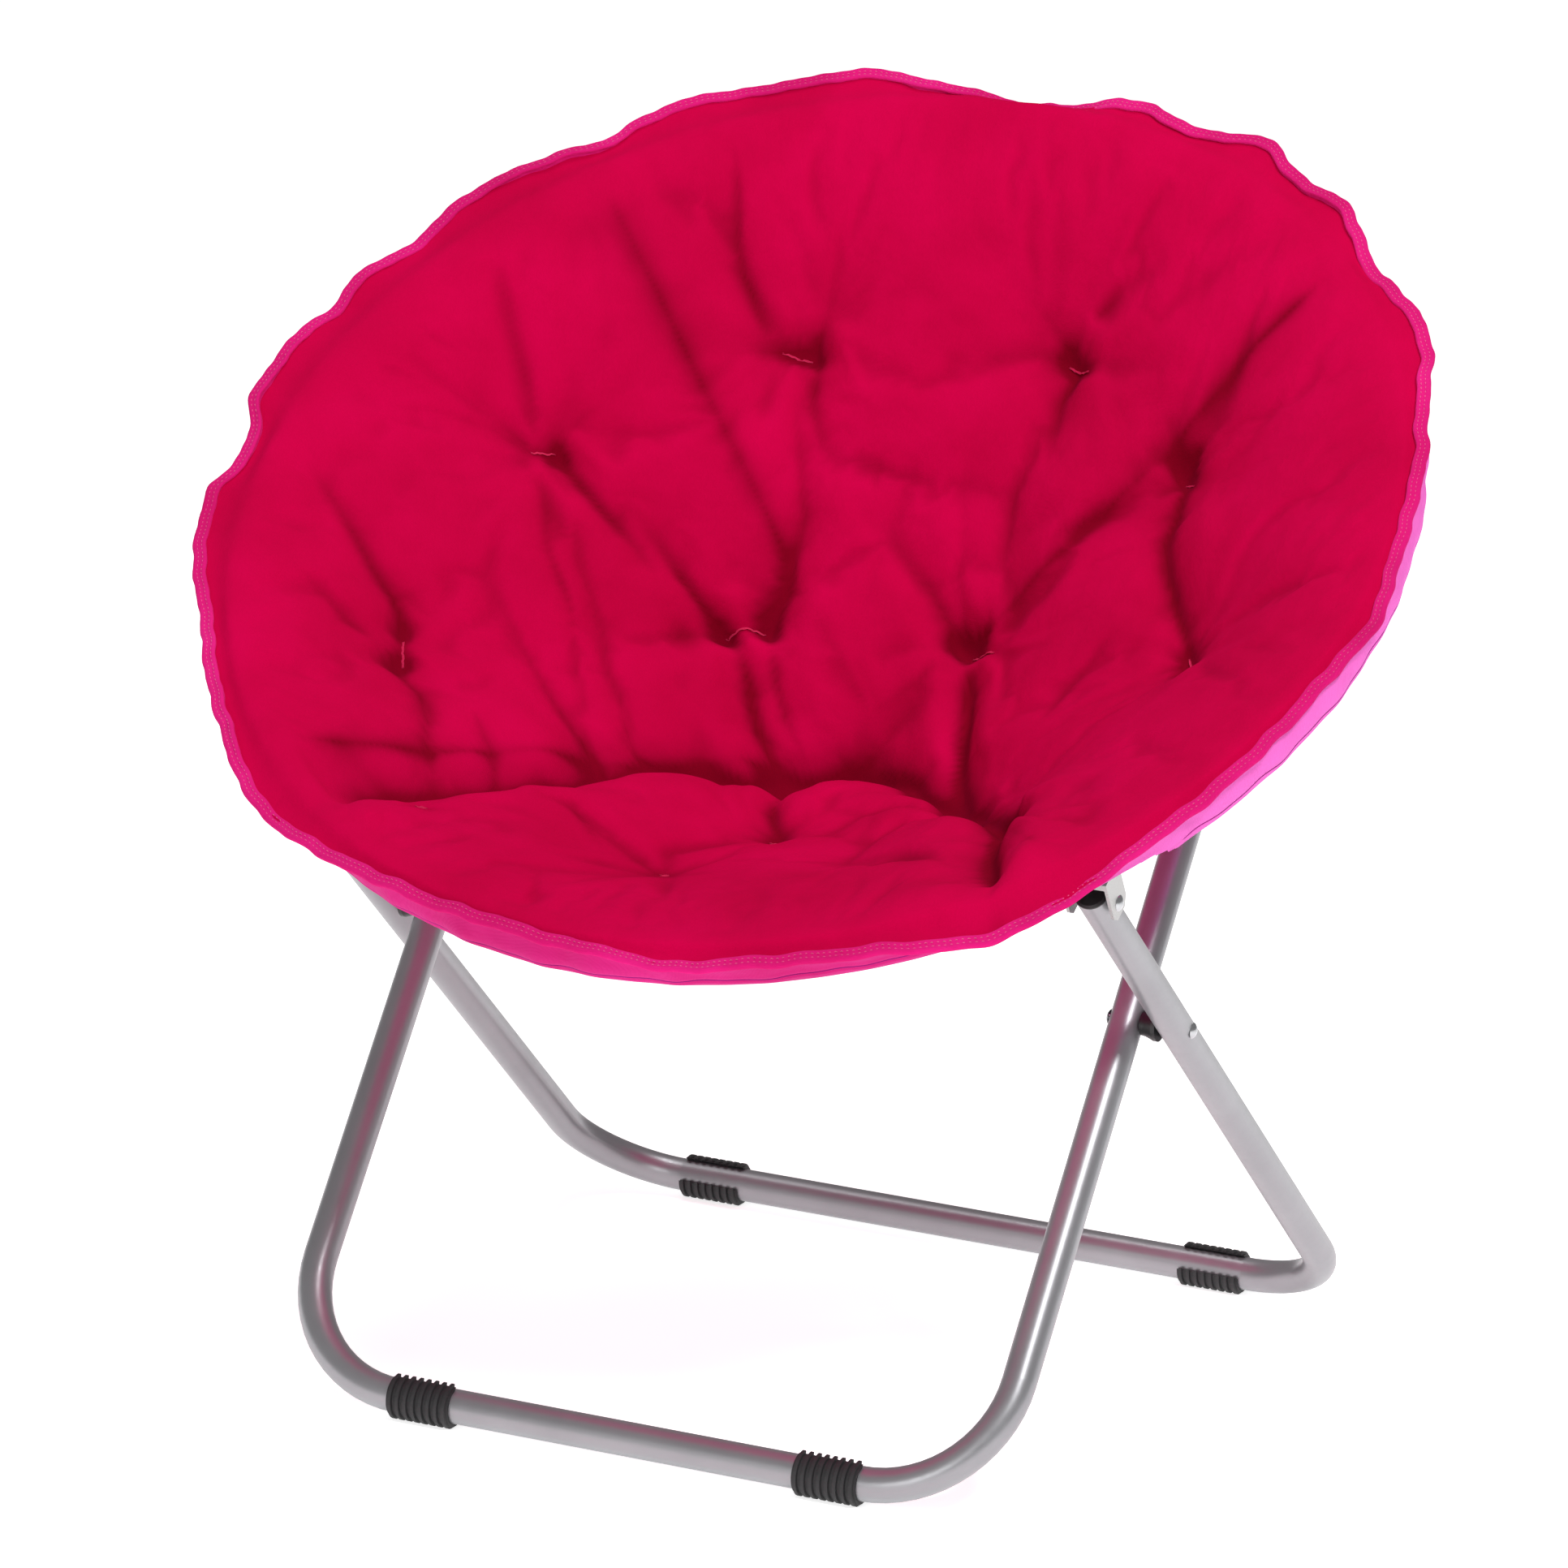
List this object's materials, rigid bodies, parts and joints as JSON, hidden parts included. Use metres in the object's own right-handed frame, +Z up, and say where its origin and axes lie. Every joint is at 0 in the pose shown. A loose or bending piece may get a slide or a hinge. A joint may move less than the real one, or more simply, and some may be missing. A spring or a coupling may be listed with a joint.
{
  "type": "folding saucer chair",
  "caption": "Folding saucer chair: a round padded dish seat in a hinged tube ring, carried by two U-shaped tube legs crossing in a scissor, with rubber feet on the floor bars.",
  "frame": {"origin": "on the floor, under the middle of the open chair's overall length and width", "axes": "+Z up, the front of the seat faces -Y, +X to the viewer's right when facing the seat from the front"},
  "size_m": [0.797, 0.6664, 0.7931],
  "materials": {
    "silver_tube": "satin silver-grey paint",
    "zinc_bracket": "bright zinc plate",
    "rivet_steel": "plated steel",
    "black_plastic": "matte",
    "black_rubber": "matte, ribbed",
    "cushion_fabric": "soft woven, crimson pink",
    "cover_fabric": "thin woven lining, pink",
    "edge_binding": "folded tape with a stitch line, pink"
  },
  "bodies": {
    "rear_leg": {"rear_leg_frame": "silver_tube", "rear_leg_plug_left": "black_plastic", "rear_leg_plug_right": "black_plastic", "foot_rear_left": "black_rubber", "foot_rear_right": "black_rubber", "scissor_rivet_left": "rivet_steel", "scissor_rivet_right": "rivet_steel", "scissor_spacer_left": "black_plastic", "scissor_spacer_right": "black_plastic"},
    "front_leg": {"front_leg_frame": "silver_tube", "front_leg_plug_left": "black_plastic", "front_leg_plug_right": "black_plastic", "foot_front_left": "black_rubber", "foot_front_right": "black_rubber"},
    "rear_ring": {"ring_rear_arc": "silver_tube", "rear_bracket_left": "zinc_bracket", "rear_bracket_right": "zinc_bracket", "rear_bracket_rivet_left": "rivet_steel", "rear_bracket_rivet_right": "rivet_steel", "hinge_pin_left": "rivet_steel", "hinge_pin_right": "rivet_steel", "seat_pad": "cushion_fabric", "cover_sleeve_rear": "cover_fabric", "cover_edge_rear": "edge_binding"},
    "front_ring": {"ring_front_arc": "silver_tube", "front_bracket_left": "zinc_bracket", "front_bracket_right": "zinc_bracket", "front_bracket_rivet_left": "rivet_steel", "front_bracket_rivet_right": "rivet_steel", "seat_pad_front_lip": "cushion_fabric", "cover_sleeve_front": "cover_fabric", "cover_edge_front": "edge_binding"}
  },
  "joints": [
    {"name": "scissor", "type": "hinge", "parent": "rear_leg", "child": "front_leg", "pos_m": [0, -0.0264, 0.2758], "axis": [1, 0, 0], "range_deg": [0, 50]},
    {"name": "ring_lean", "type": "hinge", "parent": "front_leg", "child": "rear_ring", "pos_m": [0, 0.27306, 0.6762], "axis": [1, 0, 0], "range_deg": [-15.5, 0]},
    {"name": "ring_fold", "type": "hinge", "parent": "rear_ring", "child": "front_ring", "pos_m": [0, -0.06618, 0.50576], "axis": [1, 0, 0], "range_deg": [0, 85.08]}
  ],
  "couplings": [
    {"joint": "ring_lean", "follows": "scissor", "ratio": -0.31},
    {"joint": "ring_fold", "follows": "scissor", "ratio": 1.7016}
  ]
}
